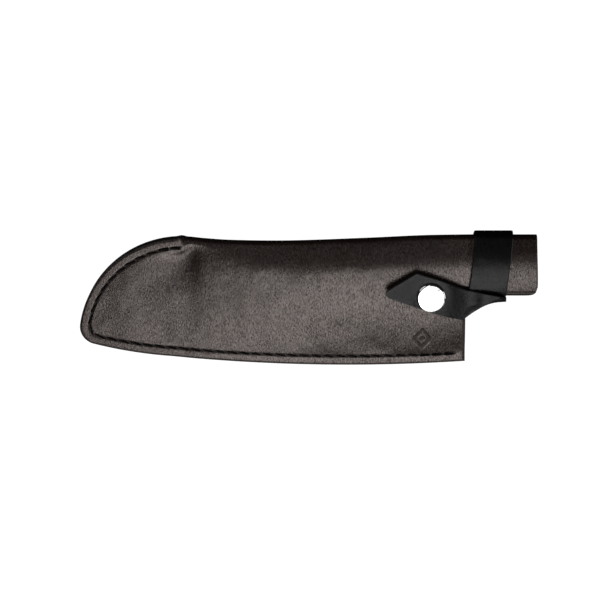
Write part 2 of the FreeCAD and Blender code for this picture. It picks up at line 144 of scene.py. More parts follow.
TOE = arc((-118.72, -14.9), (-111.9, -24.9), 9.3, 0.5)
TIP_ARC = arc(TIP_TOP, (-118.72, -14.9), 54.3)
BELLY = arc((-111.9, -24.9), (-71.2, -31.65), 221.0)[:-1] + arc((-71.2, -31.65), HEEL_LOW, 896.0)
OUTLINE = TIP_ARC[:-1] + TOE[:-1] + BELLY
HALF_TOE = len(TOE) // 2


def spine(x):
    return along(SPINE, x)


def shoulder(radius, rise, reach):
    """Radius of the shallow arc from a tight bend up to the crown, and the angle where they meet."""
    big = (reach ** 2 / (rise - radius) + rise + radius) / 2
    return big, math.asin(reach / (big - radius))


def spine_section(x, w):
    """(y, z) on the front at distance w round the bend from the spine's outermost line."""
    fold, crown = along(FOLD, x), along(CROWN, x)
    mid_y, mid_z = spine(x) - fold, along(LIFT, x) + fold
    big, lean = shoulder(fold, crown - mid_z, CROWN_INSET - fold)
    top = math.pi / 2 - lean
    if w <= fold * top:
        return mid_y + fold * math.cos(w / fold), mid_z + fold * math.sin(w / fold)
    angle = lean - (w - fold * top) / big
    return spine(x) - CROWN_INSET + big * math.sin(angle), crown - big + big * math.cos(angle)


def to_outline(points):
    """Distance from each (x, y) to the sewn edge."""
    p = np.array(points, float)
    best = np.full(len(p), 1e9)
    for a, b in zip(OUTLINE, OUTLINE[1:]):
        a, d = np.array(a), np.array(b) - np.array(a)
        t = np.clip(((p - a) @ d) / (d @ d), 0, 1)
        best = np.minimum(best, np.linalg.norm(p - a - t[:, None] * d, axis=1))
    return best


def front_z(x, y, inset):
    """Height of the front panel, crowned under the spine and flat along the seam."""
    crown, top_y, seam = along(CROWN, x), spine(x) - CROWN_INSET, along(SEAM, x)
    fold = along(FOLD, x)
    if y > top_y:
        big, _ = shoulder(fold, crown - along(LIFT, x) - fold, CROWN_INSET - fold)
        body = crown - big + math.sqrt(max(big ** 2 - (y - top_y) ** 2, 0.0)) - MARGIN_Z
    else:
        q = (y - seam) / (top_y - seam)
        rise = (crown - MARGIN_Z) * (1 - (1 - q) ** 2) if q > 0 else (crown - MARGIN_Z) * 2 * q
        soft = 0.3
        body = soft * math.log1p(math.exp(min(rise / soft, 40.0)))
        shift = smooth(76.0, 86.0, x)
        if shift and y > COLLAR_LOW:
            body = mix(body, collar_front(x, y) - MARGIN_Z, shift)
    tip = 1 - smooth(-66.0, -58.0, x)
    puff = 0.15 * smooth(STITCH_INSET, STITCH_INSET + 14, inset)
    return MARGIN_Z + mix(body, puff, tip)


def collar_front(x, y):
    """Height of the collar's front below its crown."""
    top_y = spine(x) - CROWN_INSET
    crown = along(CROWN, x)
    big, lean = shoulder(LOW_BEND, crown - COLLAR_MID_Z, top_y - COLLAR_LOW - LOW_BEND)
    if y > top_y - big * math.sin(lean):
        return crown - big + math.sqrt(big ** 2 - (top_y - y) ** 2)
    off = min(COLLAR_LOW + LOW_BEND - y, LOW_BEND)
    return COLLAR_MID_Z + math.sqrt(max(LOW_BEND ** 2 - off ** 2, 0.0))


def back_z(x, y):
    return along(LIFT, x) * smooth(-22.0, 9.0, y)


def ripple(x, y, scale, depth, seed):
    return depth * noise.noise(Vector((x / scale, y / scale, seed)))


def hide_ripple(x, y):
    """The hide's slight unevenness, broad and fine."""
    return ripple(x, y, 17.0, 0.28, 3.0) + ripple(x, y, 6.0, 0.07, 8.0)


# ---------------------------------------------------------------- meshes and materials

def make_mesh(name, points, faces, marks=None):
    """A mesh object from points in millimetres, with named values on its points."""
    mesh = bpy.data.meshes.new(name)
    mesh.from_pydata([(x * MM, y * MM, z * MM) for x, y, z in points], [], faces)
    for key, values in (marks or {}).items():
        mesh.attributes.new(key, "FLOAT", "POINT").data.foreach_set("value", np.array(values, np.float32))
    mesh.validate()
    mesh.polygons.foreach_set("use_smooth", [True] * len(mesh.polygons))
    piece = bpy.data.objects.new(name, mesh)
    bpy.context.scene.collection.objects.link(piece)
    return piece


def apply_modifiers(piece):
    graph = bpy.context.evaluated_depsgraph_get()
    done = bpy.data.meshes.new_from_object(piece.evaluated_get(graph))
    piece.modifiers.clear()
    piece.data = done


def thicken(piece, face, inner, rim, thickness, bevel):
    """Gives a sheet its three materials and its thickness behind the face, and rounds its cut edges."""
    for material in (face, inner, rim):
        piece.data.materials.append(material)
    solid = piece.modifiers.new("thickness", "SOLIDIFY")
    solid.thickness = thickness * MM
    solid.offset = -1
    solid.use_even_offset = True
    solid.material_offset = 1
    solid.material_offset_rim = 2
    round_edge = piece.modifiers.new("edge", "BEVEL")
    round_edge.width = bevel * MM
    round_edge.segments = 3
    round_edge.limit_method = "ANGLE"
    round_edge.angle_limit = math.radians(60)
    round_edge.harden_normals = False
    apply_modifiers(piece)
    piece.data.polygons.foreach_set("use_smooth", [True] * len(piece.data.polygons))


class Shader:
    """A small helper round one material's nodes."""

    def __init__(self, name):
        self.material = bpy.data.materials.new(name)
        self.material.use_nodes = True
        self.tree = self.material.node_tree
        self.surface = self.tree.nodes["Principled BSDF"]

    def node(self, kind, inputs=None, **settings):
        made = self.tree.nodes.new(f"ShaderNode{kind}")
        for key, value in settings.items():
            setattr(made, key, value)
        for key, value in (inputs or {}).items():
            self.plug(made, key, value)
        return made

    def plug(self, node, key, value):
        socket = node.inputs[key]
        if isinstance(value, bpy.types.NodeSocket):
            self.tree.links.new(value, socket)
        else:
            socket.default_value = value

    def place(self, scale=(1, 1, 1), turn=0.0):
        """Coordinates in millimetres on the piece, stretched and turned."""
        where = self.node("TexCoord").outputs["Object"]
        mapped = self.node("Mapping", {"Vector": where, "Scale": [k / MM for k in scale],
                                       "Rotation": (0, 0, turn)})
        return mapped.outputs["Vector"]

    def noise(self, where, scale, detail=3.0, rough=0.5):
        made = self.node("TexNoise", {"Vector": where, "Scale": scale, "Detail": detail, "Roughness": rough})
        return made.outputs["Fac"]

    def stir(self, where, seed, scale):
        """Coordinates pushed about by a coloured noise."""
        push = self.node("TexNoise", {"Vector": seed, "Scale": scale}).outputs["Color"]
        return self.node("VectorMath", {0: where, 1: push}, operation="ADD").outputs[0]

    def cells(self, where, scale, feature):
        made = self.node("TexVoronoi", {"Vector": where, "Scale": scale}, feature=feature)
        return made.outputs["Distance"]

    def math(self, operation, a, b=0.0, c=0.0):
        return self.node("Math", {0: a, 1: b, 2: c}, operation=operation).outputs[0]

    def ramp(self, value, low, high, start=0.0, end=1.0):
        made = self.node("MapRange", {"Value": value, "From Min": low, "From Max": high,
                                      "To Min": start, "To Max": end})
        return made.outputs["Result"]

    def blend(self, factor, a, b, mode="MIX"):
        made = self.node("Mix", data_type="RGBA", blend_type=mode)
        for socket, value in ((made.inputs[0], factor), (made.inputs[6], a), (made.inputs[7], b)):
            if isinstance(value, bpy.types.NodeSocket):
                self.tree.links.new(value, socket)
            else:
                socket.default_value = value
        return made.outputs[2]

    def bump(self, height, depth, before=None):
        made = self.node("Bump", {"Height": height, "Distance": depth * MM, "Strength": 1.0})
        if before:
            self.plug(made, "Normal", before)
        return made.outputs["Normal"]

    def finish(self, **sockets):
        for key, value in sockets.items():
            self.plug(self.surface, key.replace("_", " "), value)
        return self.material


def rgb(r, g, b):
    return (r, g, b, 1.0)


def leather(name, dark, light, rough, shine, contrast, grain, crease=0.0, dyed_and_shaded=False,
            tint=(1.0, 1.0, 1.0)):
    """Smooth-side leather: pebbled grain, fine creases with painted shade in them, and uneven dye.

    shine is the specular level and contrast is how much the grain changes it. At contrast 0 it is one
    plain number, which the export keeps.
    """
    s = Shader(name)
    flat = s.place()
    bent = s.stir(flat, flat, 0.35)
    pebble = s.cells(bent, 1.15 / grain, "SMOOTH_F1")
    pore = s.ramp(s.cells(bent, 2.3 / grain, "DISTANCE_TO_EDGE"), 0.0, 0.16)
    broad = s.noise(flat, 0.045, 4.0, 0.6)
    patch = s.noise(flat, 0.21, 3.0)
    fine = s.noise(flat, 2.8, 2.0)
    tone = s.math("ADD", s.math("MULTIPLY", broad, 0.6), s.math("MULTIPLY", patch, 0.4))
    tone = s.ramp(tone, 0.36, 0.64)
    color = s.blend(tone, rgb(*dark), rgb(*light))
    color = s.blend(s.ramp(pebble, 0.25, 0.8, 0.0, 0.45), color, rgb(*[k * 0.45 for k in dark]))
    sheen = s.ramp(s.math("ADD", patch, s.math("MULTIPLY", fine, 0.5)), 0.5, 1.0, rough - 0.03, rough + 0.04)
    pull = s.noise(s.place((1.0, 0.34, 0.34), 0.1), 1.9, 4.0, 0.7)
    polish = shine
    if contrast:
        worn = s.math("ADD", s.math("MULTIPLY", pull, 0.9), s.math("MULTIPLY", pebble, -0.1))
        polish = s.ramp(worn, 0.22, 0.49, (1 - contrast) * shine, (1 + contrast) * shine)
    sheen = s.math("ADD", sheen, s.ramp(pull, 0.3, 0.7, 0.04, -0.04))
    normal = s.bump(pebble, -0.02 * grain)
    normal = s.bump(pore, 0.008 * grain, normal)
    normal = s.bump(pull, 0.06 * grain, normal)
    normal = s.bump(fine, 0.006, normal)
    if crease:
        # wrinkles run across the hide, and only show in patches
        wavy = s.stir(s.place((0.85, 0.3, 0.4), 0.12), flat, 0.16)
        wrinkle = s.ramp(s.cells(wavy, 1.0, "DISTANCE_TO_EDGE"), 0.0, 0.12)
        where = s.ramp(s.noise(flat, 0.035, 2.0), 0.46, 0.60)
        wrinkle = s.math("MULTIPLY", s.math("SUBTRACT", wrinkle, 1.0), where)
        normal = s.bump(wrinkle, 0.10 * crease, normal)
        # painted shade: the colour is darker in the wrinkles' creases
        color = s.blend(s.math("MULTIPLY", wrinkle, -0.12), color, rgb(*[k * 0.4 for k in dark]))
    # painted shade: the stitches' groove is darkened in the colour; the same values also darken the dyed cut
    # edges and the pressed mark
    if dyed_and_shaded:
        edge_dye_and_groove_shade = s.node("Attribute", attribute_name="edge_dye_and_groove_shade").outputs["Fac"]
        color = s.blend(edge_dye_and_groove_shade, color, rgb(0.006, 0.005, 0.005))
        sheen = s.math("ADD", sheen, s.math("MULTIPLY", edge_dye_and_groove_shade, 0.55))
    return s.finish(Base_Color=color, Roughness=sheen, Normal=normal, Specular_IOR_Level=polish,
                    Specular_Tint=rgb(*tint))


def raw_leather(name, dark, light):
    """The flesh side: matt, fibrous and paler where it is rubbed."""
    s = Shader(name)
    flat = s.place()
    fibre = s.noise(s.place((0.5, 1.6, 1.0), 0.5), 1.6, 6.0, 0.7)
    nap = s.noise(flat, 4.5, 3.0, 0.6)
    broad = s.noise(flat, 0.08, 3.0)
    color = s.blend(s.ramp(broad, 0.35, 0.65), rgb(*dark), rgb(*light))
    color = s.blend(s.ramp(fibre, 0.4, 0.7, 0.0, 0.5), color, rgb(*[k * 0.6 for k in dark]))
    normal = s.bump(nap, 0.09, s.bump(fibre, 0.12))
    return s.finish(Base_Color=color, Roughness=s.ramp(nap, 0.3, 0.7, 0.82, 0.95), Normal=normal)


def edge_paint(name, color, rough):
    """Burnished, painted cut edges."""
    s = Shader(name)
    flat = s.place()
    streak = s.noise(s.place((0.3, 0.3, 2.5)), 1.2, 3.0)
    grit = s.noise(flat, 3.5, 2.0)
    shade = s.blend(s.ramp(streak, 0.35, 0.7), rgb(*color), rgb(*[k * 1.9 for k in color]))
    normal = s.bump(grit, 0.03, s.bump(streak, 0.06))
    return s.finish(Base_Color=shade, Normal=normal,
                    Roughness=s.ramp(grit, 0.3, 0.7, rough - 0.06, rough + 0.1))


def waxed_thread(name):
    s = Shader(name)
    flat = s.place()
    hair = s.noise(flat, 5.0, 3.0, 0.6)
    color = s.blend(s.ramp(hair, 0.3, 0.7), rgb(0.0015, 0.001, 0.001), rgb(0.004, 0.003, 0.0025))
    return s.finish(Base_Color=color, Roughness=s.ramp(hair, 0.3, 0.7, 0.7, 0.85), Normal=s.bump(hair, 0.05),
                    Specular_IOR_Level=0.1)


def metal(name, color, rough, scratch):
    """Plated metal, with hairline wear."""
    s = Shader(name)
    flat = s.place()
    hair = s.noise(s.place((0.25, 5.0, 1.0), 0.7), 1.5, 4.0, 0.7)
    cloud = s.noise(flat, 0.5, 2.0)
    gloss = s.math("ADD", s.ramp(hair, 0.45, 0.75, rough * 0.7, rough * 1.5),
                   s.ramp(cloud, 0.3, 0.7, -0.01, 0.02))
    shade = s.blend(s.ramp(cloud, 0.3, 0.7), rgb(*color), rgb(*[k * 0.93 for k in color]))
    return s.finish(Base_Color=shade, Metallic=1.0, Roughness=gloss, Normal=s.bump(hair, scratch))


BROWN = leather("brown_grain", (0.011, 0.0058, 0.0046), (0.019, 0.0112, 0.0090), rough=0.26, shine=0.43,
                contrast=0.7, grain=1.0, crease=0.3, dyed_and_shaded=True, tint=(1.0, 0.88, 0.84))
BROWN_RAW = raw_leather("brown_flesh", (0.060, 0.038, 0.026), (0.105, 0.070, 0.048))
BROWN_EDGE = edge_paint("brown_edge", (0.008, 0.006, 0.0055), 0.42)
BLACK = leather("black_grain", (0.0025, 0.0025, 0.0027), (0.004, 0.004, 0.0043), rough=0.24, shine=0.17,
                contrast=0.0, grain=1.4)
BLACK_RAW = raw_leather("black_flesh", (0.018, 0.016, 0.015), (0.036, 0.032, 0.030))
BLACK_EDGE = edge_paint("black_edge", (0.010, 0.010, 0.011), 0.34)
WELT = edge_paint("welt_edge", (0.007, 0.0055, 0.005), 0.46)
THREAD = waxed_thread("waxed_thread")
CHROME = metal("polished_chrome", (0.92, 0.92, 0.93), 0.07, 0.0006)
STEEL = metal("plain_steel", (0.55, 0.55, 0.56), 0.30, 0.003)

# ---------------------------------------------------------------- the folded hide

# distances from the sewn edge of the rows next to it, close together at the stitches' groove
EDGE_ROWS = [0.0, 0.6, 1.2, 2.0, 2.8, 3.4, 3.9, 4.2, 4.5, 4.8, 5.1, 5.4, 5.7, 6.2, 6.8, 7.6, 8.5]
COARSE_EDGE_ROWS = [0.0, 0.7, 1.6, 2.6, 3.6, 4.2, 4.8, 5.4, 6.0, 7.0, 8.5]
FINE_ROWS = (9.0, 21.0, 0.5)    # closer rows and columns carry the pressed mark
FINE_X = (55.0, 69.5)
MARK = (59.6, -21.6)
MARK_SIZE = (4.1, 5.2)          # half its width and half its height


def column_ends():
    """Matching points along the spine side and the belly side, fanned round the toe."""
    upper = TOE[HALF_TOE::-1][:-1] + TIP_ARC[::-1]
    upper += [(x, spine(x)) for x in np.arange(-66.0, HEEL_X, 1.0)] + [(HEEL_X, spine(HEEL_X))]
    lower = TOE[HALF_TOE:-1] + BELLY
    up_sums, low_sums = path_length(upper), path_length(lower)
    turn_x = -50.0              # past this the columns run straight across, one at each x
    up_turn = next(s for p, s in zip(upper, up_sums) if p[0] >= turn_x and p[1] > 0)
    low_turn = next(s for p, s in zip(lower, low_sums) if p[0] >= turn_x)
    ends = []
    fan = 76
    for k in range(fan + 1):
        share = 0.006 + 0.994 * k / fan
        ends.append((at_length(upper, up_sums, up_turn * share),
                     at_length(lower, low_sums, low_turn * share)))
    first_x = ends[-1][0][0]
    xs = []
    x = first_x
    while x < HEEL_X - 0.5:
        x += 0.5 if FINE_X[0] < x < FINE_X[1] else 1.0
        xs.append(x)
    xs = [first_x + (x - first_x) * (HEEL_X - first_x) / (xs[-1] - first_x) for x in xs]
    by_x = sorted(BELLY)
    for x in xs:
        low_x = x + smooth(60.0, HEEL_X, x) * (HEEL_LOW[0] - HEEL_X)
        low_y = float(np.interp(low_x, [p[0] for p in by_x], [p[1] for p in by_x]))
        ends.append(((x, spine(x)), (low_x, low_y)))
    return ends


def rolled(top_x, flat, w, side):
    """A point of the strip next to the spine: flat at the tip, and round the fold after it."""
    if side > 0:
        y, z = spine_section(top_x, w)
    else:
        fold = along(FOLD, top_x)
        angle = min(w / fold, math.pi / 2)
        y = spine(top_x) - fold + fold * math.cos(angle) - max(w - fold * math.pi / 2, 0.0)
        z = along(LIFT, top_x) + fold - fold * math.sin(angle)
    curl = smooth(*CURL, top_x)
    flat_z = MARGIN_Z if side > 0 else 0.0
    return mix(flat[0], top_x, curl), mix(flat[1], y, curl), mix(flat_z, z, curl)


ENDS = column_ends()
LAST_LOW = ENDS[-1][1]
ANCHOR_Y = spine_section(HEEL_X, ZONE)[0]
SPLIT = (FLAP_Y - LAST_LOW[1]) / (ANCHOR_Y - LAST_LOW[1])     # share of the last column below the flaps


def between(low, high, step, fine=None):
    """Evenly stepped values from just after low to just before high, closer in the fine span."""
    values = [low]
    while values[-1] < high:
        close = fine and fine[0] < values[-1] < fine[1]
        values.append(values[-1] + (fine[2] if close else step))
    scale = (high - low) / (values[-1] - low)
    return [low + (v - low) * scale for v in values[1:-1]]


FULL = ANCHOR_Y - LAST_LOW[1]
FRONT_ROWS = EDGE_ROWS + between(EDGE_ROWS[-1], SPLIT * FULL, 1.0, FINE_ROWS) + [SPLIT * FULL]
FRONT_UPPER = between(SPLIT * FULL, FULL, 1.0)
BACK_ROWS = COARSE_EDGE_ROWS + between(COARSE_EDGE_ROWS[-1], SPLIT * FULL, 2.0) + [SPLIT * FULL]
BACK_UPPER = between(SPLIT * FULL, FULL, 2.0)
ROLL = [ZONE * (1 - k / 12) for k in range(13)]


def panel_column(ends, rows, side):
    """One column of points from the belly edge up to the spine, with z left open on the flat part."""
    top, low = ends
    reach = math.dist(top, low)
    zone = min(ZONE, 0.4 * reach)
    unit = ((low[0] - top[0]) / reach, (low[1] - top[1]) / reach)
    roll = []
    for w in ROLL:
        flat = (top[0] + unit[0] * w * zone / ZONE, top[1] + unit[1] * w * zone / ZONE)
        roll.append(rolled(top[0], flat, w, side))
    anchor = roll[0]
    length = math.dist(anchor[:2], low)
    edge = min(1.0, 0.42 * length / EDGE_ROWS[-1])
    points = []
    for d in rows:
        if d <= EDGE_ROWS[-1]:
            t = d * edge / length
        else:
            start = EDGE_ROWS[-1] * edge / length
            t = start + (1 - start) * (d - EDGE_ROWS[-1]) / (FULL - EDGE_ROWS[-1])
        points.append((mix(low[0], anchor[0], t), mix(low[1], anchor[1], t), None))
    return points + roll


def mark_depth(x, y):
    """A plain pressed mark: a small diamond outline with a dot in it."""
    across, up = abs(x - MARK[0]), abs(y - MARK[1])
    ring = abs(across / MARK_SIZE[0] + up / MARK_SIZE[1] - 1) * 3.2
    dot = math.hypot(across, up) - 0.5
    return max(1 - smooth(0.15, 0.75, ring), 1 - smooth(0.1, 0.7, dot))


def fold_hollow(x, y, inset):
    """The shallow dip where the flat tip turns into the rounded fold."""
    dip = 1.3 * math.exp(-((x + 64.0) / 8.5) ** 2)
    return dip * smooth(1.0, 22.0, y) * smooth(STITCH_INSET, 10.0, inset) * smooth(1.5, 7.0, spine(x) - y)


def stitched_span(x, y):
    """1 along the sewn part of the edge, and 0 past the ends of the seam."""
    if y > 0:
        return 1 - smooth(-66.5, -64.5, x)
    return 1 - smooth(76.5, 78.0, x)


def cut_away(x, in_roll):
    """1 where the hide has a cut edge, and 0 in the strip that rolls round the spine."""
    return 1 - (smooth(-66.0, -60.0, x) if in_roll else 0.0)


def cell(grid, key, i, j):
    return [grid[key, i, j], grid[key, i + 1, j], grid[key, i + 1, j + 1], grid[key, i, j + 1]]


def hide_sheet():
    """Points, faces and darkening values of the folded hide (dyed edges, and painted shade in the stitches'
    groove): the front, the back and the collar in one sheet.
    """
    points, edge_dye_and_groove_shade, faces = [], [], []
    grid = {}

    front = [panel_column(e, FRONT_ROWS + FRONT_UPPER, 1) for e in ENDS]
    back = [panel_column(e, BACK_ROWS + BACK_UPPER, -1) for e in ENDS]
    insets = iter(to_outline([(p[0], p[1]) for column in front for p in column]))
    back_insets = iter(to_outline([(p[0], p[1]) for column in back for p in column]))

    def add(point, dark=0.0):
        points.append(point)
        edge_dye_and_groove_shade.append(dark)
        return len(points) - 1

    for i, column in enumerate(front):
        for j, (x, y, z) in enumerate(column):
            inset = float(next(insets))
            in_roll = z is not None
            if z is None:
                z = front_z(x, y, inset)
            sewn = stitched_span(x, y)
            groove = math.exp(-((inset - STITCH_INSET) / 0.55) ** 2) * sewn
            away = cut_away(x, in_roll)
            dip = math.exp(-((inset - STITCH_INSET) / 2.0) ** 2) * sewn
            z -= (0.30 * groove + 0.05 * dip) * away
            z -= 0.35 * (1 - smooth(0.0, 1.0, inset)) * away
            z -= fold_hollow(x, y, inset)
            pressed = mark_depth(x, y)
            z -= 0.32 * pressed
            calm = smooth(2.0, 9.0, inset) * (0.0 if in_roll else 1.0)
            z += calm * hide_ripple(x, y)
            edge = 1 - smooth(0.5, 1.1, inset) if away > 0.5 else 0.0
            heel_x = HEEL_X + (FLAP_Y - y) / HEEL_SLANT
            heel = 1 - smooth(0.3, 1.0, heel_x - x) if y < 3 and x > 70 else 0.0
            # darker on the dyed cut edges, the heel's dyed edge and the pressed mark, and painted shade in
            # the stitches' groove
            dark = max(0.55 * edge, 0.8 * heel, 0.95 * groove, 0.6 * pressed)
            grid["f", i, j] = add((x, y, z), min(1.0, dark))
    for i, column in enumerate(back):
        joined = ENDS[i][0][0] >= CURL[1]
        for j, (x, y, z) in enumerate(column):
            inset = float(next(back_insets))
            in_roll = z is not None
            if z is None:
                z = back_z(x, y)
            away = cut_away(x, in_roll)
            groove = math.exp(-((inset - STITCH_INSET) / 0.75) ** 2) * stitched_span(x, y)
            z += 0.30 * groove * away
            if joined and j == len(column) - 1:
                grid["b", i, j] = grid["f", i, len(front[i]) - 1]
                continue
            edge = 1 - smooth(0.5, 1.1, inset) if away > 0.5 else 0.0
            # darker on the dyed cut edge, and painted shade in the stitches' groove on the back
            grid["b", i, j] = add((x, y, z), min(1.0, max(edge, 0.7 * groove)))

    def tile(key, i, j, flip):
        quad = cell(grid, key, i, j)
        if len(set(quad)) < 3:
            return
        faces.append(quad[::-1] if flip else quad)

    for i in range(len(ENDS) - 1):
        for j in range(len(front[i]) - 1):
            tile("f", i, j, False)
        for j in range(len(back[i]) - 1):
            tile("b", i, j, True)

    add_collar(points, add, faces, grid, (len(FRONT_ROWS), len(front[0])), (len(BACK_ROWS), len(back[0])))
    return points, faces, {"edge_dye_and_groove_shade": edge_dye_and_groove_shade}


CORNER = 6.5                # rounding of the collar flaps' corners, measured on the flat hide


def collar_section(x, w, side):
    """(y, z) of the collar's flap at distance w below its row at FLAP_Y, round its lower edge."""
    if side > 0:
        top_y = spine(x) - CROWN_INSET
        big, lean = shoulder(LOW_BEND, along(CROWN, x) - COLLAR_MID_Z, top_y - COLLAR_LOW - LOW_BEND)
        knee_y = top_y - big * math.sin(lean)
        run = FLAP_Y - knee_y
        if w < run:
            return FLAP_Y - w, collar_front(x, FLAP_Y - w)
        angle = math.pi / 2 + lean + (w - run) / LOW_BEND
        return COLLAR_LOW + LOW_BEND + LOW_BEND * math.cos(angle), COLLAR_MID_Z + LOW_BEND * math.sin(angle)
    bend = COLLAR_MID_Z - along(LIFT, x)
    angle = -math.pi / 2 - w / bend
    return FLAP_Y + bend * math.cos(angle) - 0.05, COLLAR_MID_Z + bend * math.sin(angle)


def collar_x(x, y):
    """The collar's end is cut at a slight slant."""
    reach = (x - COLLAR_X) / (COLLAR_END - COLLAR_X)
    return x - 0.95 * smooth(2.0, 30.0, y) * max(reach, 0.0)


def flap_length(side):
    """How far a flap goes round before the slit."""
    w = 0.0
    while abs(collar_section(COLLAR_MIDDLE, w, side)[1] - COLLAR_MID_Z) > SLIT:
        w += 0.02
    return w


def add_collar(points, add, faces, grid, front_size, back_size):
    """Carries the panels' upper rows on as the collar, and curls its flaps round the lower edge."""
    xs = [HEEL_X, COLLAR_X - 0.6] + list(np.linspace(COLLAR_X + 0.3, COLLAR_END, 42))
    last = len(ENDS) - 1
    upper = {}
    front_top = front_size[1] - 1
    for side, key, (split, top) in ((1, "f", front_size), (-1, "b", back_size)):
        split, top = split - 1, top - 1
        for i, x in enumerate(xs):
            for j in range(split, top + 1):
                if i == 0:
                    upper[key, i, j] = grid[key, last, j]
                    continue
                w = ROLL[j - (top - len(ROLL) + 1)] if j > top - len(ROLL) else None
                if j == top and side < 0:
                    upper[key, i, j] = upper["f", i, front_top]
                    continue
                if w is not None:
                    _, y, z = rolled(x, (x, 0.0), w, side)
                else:
                    y = points[grid[key, last, j]][1]
                    anchor = rolled(x, (x, 0.0), ZONE, side)[1]
                    start = rolled(HEEL_X, (HEEL_X, 0.0), ZONE, side)[1]
                    y = FLAP_Y + (y - FLAP_Y) * (anchor - FLAP_Y) / (start - FLAP_Y)
                    z = front_z(x, y, FAR_IN) if side > 0 else back_z(x, y)
                    if side > 0:
                        # the unevenness dies away under the strap
                        z += (1 - smooth(HEEL_X, 92.0, x)) * hide_ripple(x, y)
                edge = 1 - smooth(0.3, 0.9, COLLAR_END - x)
                upper[key, i, j] = add((collar_x(x, y), y, z), edge)
        for i in range(len(xs) - 1):
            for j in range(split, top):
                quad = cell(upper, key, i, j)
                faces.append(quad if side > 0 else quad[::-1])
        reach = flap_length(side)
        count = 12
        flap = {}
        for i, x in enumerate(xs):
            back_off = max(0.0, x - (COLLAR_END - CORNER))
            lip = reach - (CORNER - math.sqrt(max(CORNER ** 2 - back_off ** 2, 0.0)))
            for k in range(count + 1):
                if k == 0:
                    flap[i, k] = upper[key, i, split]
                    continue
                w = lip * k / count
                y, z = collar_section(x, w, side)
                edge = max(1 - smooth(0.3, 0.9, COLLAR_END - x), 1 - smooth(0.3, 0.8, lip - w))
                flap[i, k] = add((collar_x(x, y), y, z), edge)
        for i in range(len(xs) - 1):
            for k in range(count):
                quad = [flap[i, k + 1], flap[i + 1, k + 1], flap[i + 1, k], flap[i, k]]
                faces.append(quad if side > 0 else quad[::-1])


def make_hide():
    points, faces, marks = hide_sheet()
    piece = make_mesh("Sheath_Leather", points, faces, marks)
    thicken(piece, BROWN, BROWN_RAW, BROWN_EDGE, HIDE, 0.35)
    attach(piece, "sheath")
    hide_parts("sheath_body")
    return piece


# ---------------------------------------------------------------- stitching

PITCH = 6.35                # from one hole to the next


def inset_path(points, inset):
    """The line at a distance inside the outline."""
    moved = []
    for k, (x, y) in enumerate(points):
        before, after = points[max(k - 1, 0)], points[min(k + 1, len(points) - 1)]
        dx, dy = after[0] - before[0], after[1] - before[1]
        length = math.hypot(dx, dy)
        moved.append((x - dy / length * inset, y + dx / length * inset))
    return moved


def stitch(points, faces, start, end, base, side, lift):
    """One stitch of three twisted strands, going down into its holes at both ends."""
    strands, twist = 3, 7.5
    rings, around = 16, 15
    first = len(points)
    a, b = Vector((*start, 0.0)), Vector((*end, 0.0))
    direction = (b - a).normalized()
    across = Vector((-direction.y, direction.x, 0.0))
    for i in range(rings + 1):
        t = i / rings
        bow = abs(2 * t - 1)
        centre = a.lerp(b, t)
        height = base + side * (lift - 0.95 * bow ** 5)
        thick = 0.52 - 0.14 * bow ** 4
        for k in range(around):
            angle = 2 * math.pi * k / around
            radius = thick * (1 + 0.15 * math.cos(strands * (angle - t * twist)))
            spot = centre + across * radius * math.cos(angle)
            points.append((spot.x, spot.y, height + side * radius * math.sin(angle)))
    for i in range(rings):
        for k in range(around):
            n = (k + 1) % around
            quad = [first + i * around + k, first + i * around + n,
                    first + (i + 1) * around + n, first + (i + 1) * around + k]
            faces.append(quad if side < 0 else quad[::-1])
    for ring in (0, rings):
        cap = [first + ring * around + k for k in range(around)]
        faces.append(cap if (ring == 0) == (side > 0) else cap[::-1])


def make_seam_thread(name, node, side, base):
    route = inset_path([(-65.0, TIP_TOP[1])] + OUTLINE, STITCH_INSET)
    sums = path_length(route)
    end = next(s for p, s in zip(route, sums) if p[0] >= 76.6 and p[1] < 0)
    count = round(end / PITCH)
    holes = [at_length(route, sums, end * k / count) for k in range(count + 1)]
    points, faces = [], []
    for k, (a, b) in enumerate(zip(holes, holes[1:])):
        dx, dy = b[0] - a[0], b[1] - a[1]
        length = math.hypot(dx, dy)
        # each stitch leans across the line, by a slightly different amount
        lean = 0.72 + 0.12 * math.sin(k * 2.3) if side > 0 else -0.4
        nx, ny = -dy / length * lean, dx / length * lean
        start, stop = (a[0] + nx, a[1] + ny), (b[0] - nx, b[1] - ny)
        lift = 0.24 + 0.05 * math.sin(k * 1.7)
        stitch(points, faces, start, stop, base, side, lift)
        if k < 2 or k >= count - 3:
            # the seam is locked by sewing back over its last holes
            off = -0.75 if side > 0 else 0.6
            start = (a[0] + nx * 0.2 - dy / length * off, a[1] + ny * 0.2 + dx / length * off)
            stop = (b[0] + nx * 0.1 - dy / length * off * 0.6, b[1] + ny * 0.1 + dx / length * off * 0.6)
            stitch(points, faces, start, stop, base, side, lift + 0.16)
    piece = make_mesh(name, points, faces)
    piece.data.materials.append(THREAD)
    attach(piece, "sheath")
    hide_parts(node)
    return piece


# ---------------------------------------------------------------- strap

STRAP = 1.9                 # thickness
STRAP_GAP = 0.15            # between the strap and the hide
STRAP_X = 82.1              # left edge of the band at y 0
STRAP_LEAN = 0.096
STRAP_WIDE = 19.5
BAND_X = 94.0               # where the collar's section shapes the band
TOP_Z = 18.65               # front face of the tab
TAB_SIDE = 8.0              # how far down the fold the tab's own shaping reaches
SNAP = (63.0, 3.0)


def turn(centre, radius, first, last, count):
    """Points round an arc in the (y, z) plane, by angles in degrees."""
    angles = np.linspace(math.radians(first), math.radians(last), count)
    return [(centre[0] + radius * math.cos(a), centre[1] + radius * math.sin(a)) for a in angles]


